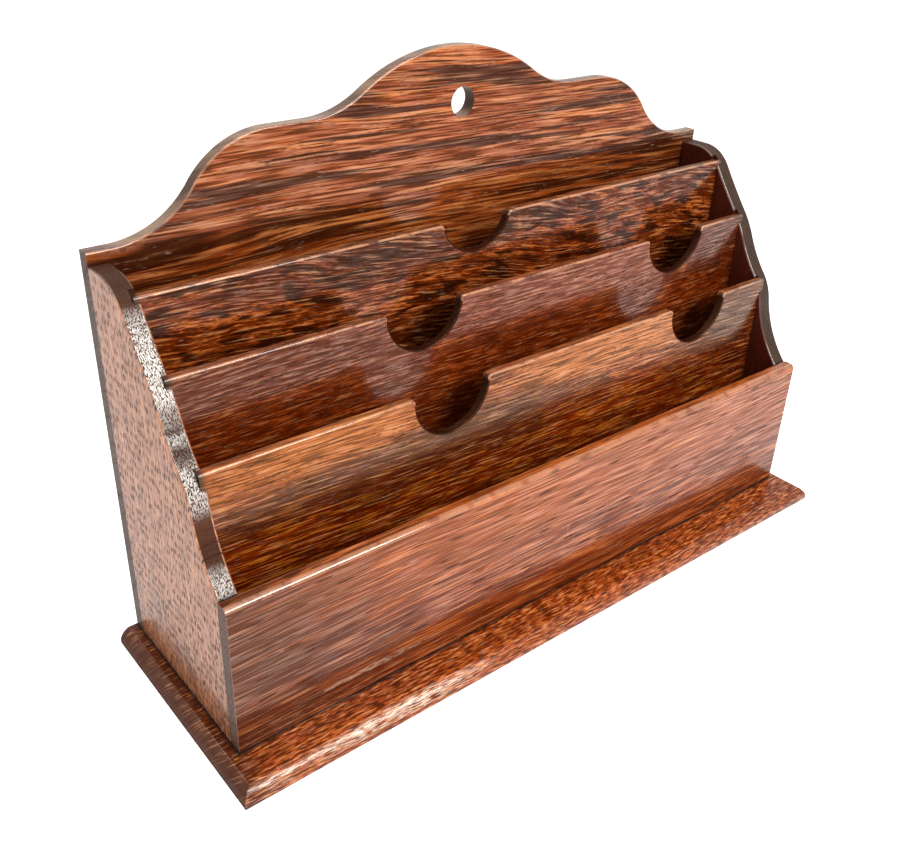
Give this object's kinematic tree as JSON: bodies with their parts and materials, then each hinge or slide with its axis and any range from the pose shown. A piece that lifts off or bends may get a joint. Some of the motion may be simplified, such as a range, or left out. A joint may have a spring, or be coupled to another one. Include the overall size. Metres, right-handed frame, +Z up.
{
  "type": "letter rack",
  "caption": "Dark oak letter rack with a scrolled back board, stepped scalloped sides, notched dividers and a moulded base, with a hole for hanging it on a wall.",
  "frame": {"origin": "middle of the footprint, on the surface that the rack stands on", "axes": "+X along the rack to the viewer's right, +Y to the wall behind the rack, +Z up"},
  "size_m": [0.33, 0.106, 0.2246],
  "materials": {
    "base_oak": "dark stained and varnished oak",
    "back_oak": "dark stained and varnished oak",
    "left_side_oak": "dark stained and varnished oak",
    "right_side_oak": "dark stained and varnished oak",
    "front_oak": "dark stained and varnished oak",
    "rear_divider_oak": "dark stained and varnished oak",
    "middle_divider_oak": "dark stained and varnished oak",
    "front_divider_oak": "dark stained and varnished oak",
    "screw_brass": "dull brass",
    "pin_steel": "dulled steel"
  },
  "bodies": {
    "root": {"base_board": "base_oak", "back_board": "back_oak", "left_side": "left_side_oak", "right_side": "right_side_oak", "front_board": "front_oak", "rear_divider": "rear_divider_oak", "middle_divider": "middle_divider_oak", "front_divider": "front_divider_oak", "base_screws": "screw_brass", "back_pins": "pin_steel"}
  },
  "joints": []
}
